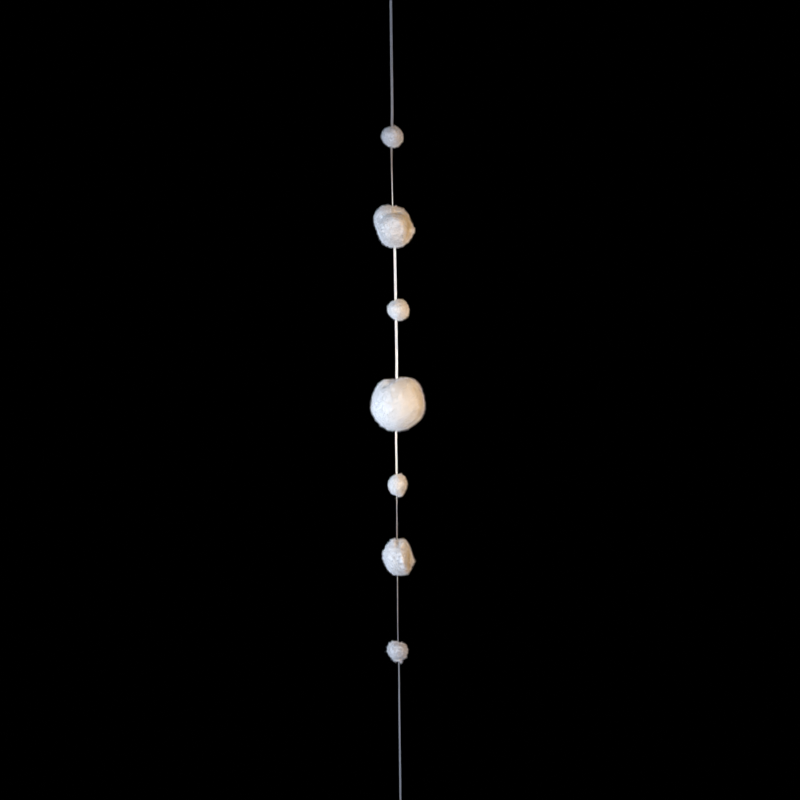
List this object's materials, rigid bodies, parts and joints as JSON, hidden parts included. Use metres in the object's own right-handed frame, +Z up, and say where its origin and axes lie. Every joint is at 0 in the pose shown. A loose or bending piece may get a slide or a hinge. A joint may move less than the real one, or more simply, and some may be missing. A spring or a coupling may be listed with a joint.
{
  "type": "snowball garland of white pompoms on a flat cotton cord",
  "caption": "Hanging garland of white short-pile pompoms in three sizes, threaded on one flat cotton cord that ends in a knotted hanging loop above and a stopper knot below.",
  "frame": {"origin": "inside the top of the hanging loop, where a hook carries the garland", "axes": "+Z up along the hanging cord, +X to the right as seen from the front, and the front faces -Y"},
  "size_m": [0.0518, 0.0514, 0.8053],
  "materials": {
    "snow_pile": "dense short white plush pile, matt and softly fuzzy",
    "cotton_cord": "flat braided mercerised cotton, off-white, with a soft lustre"
  },
  "bodies": {
    "root": {"hanging_loop": "cotton_cord", "string": "cotton_cord", "end_knot": "cotton_cord", "snowball_1": "snow_pile", "snowball_2": "snow_pile", "snowball_3": "snow_pile", "snowball_4": "snow_pile", "snowball_5": "snow_pile", "snowball_6": "snow_pile", "snowball_7": "snow_pile"}
  },
  "joints": []
}
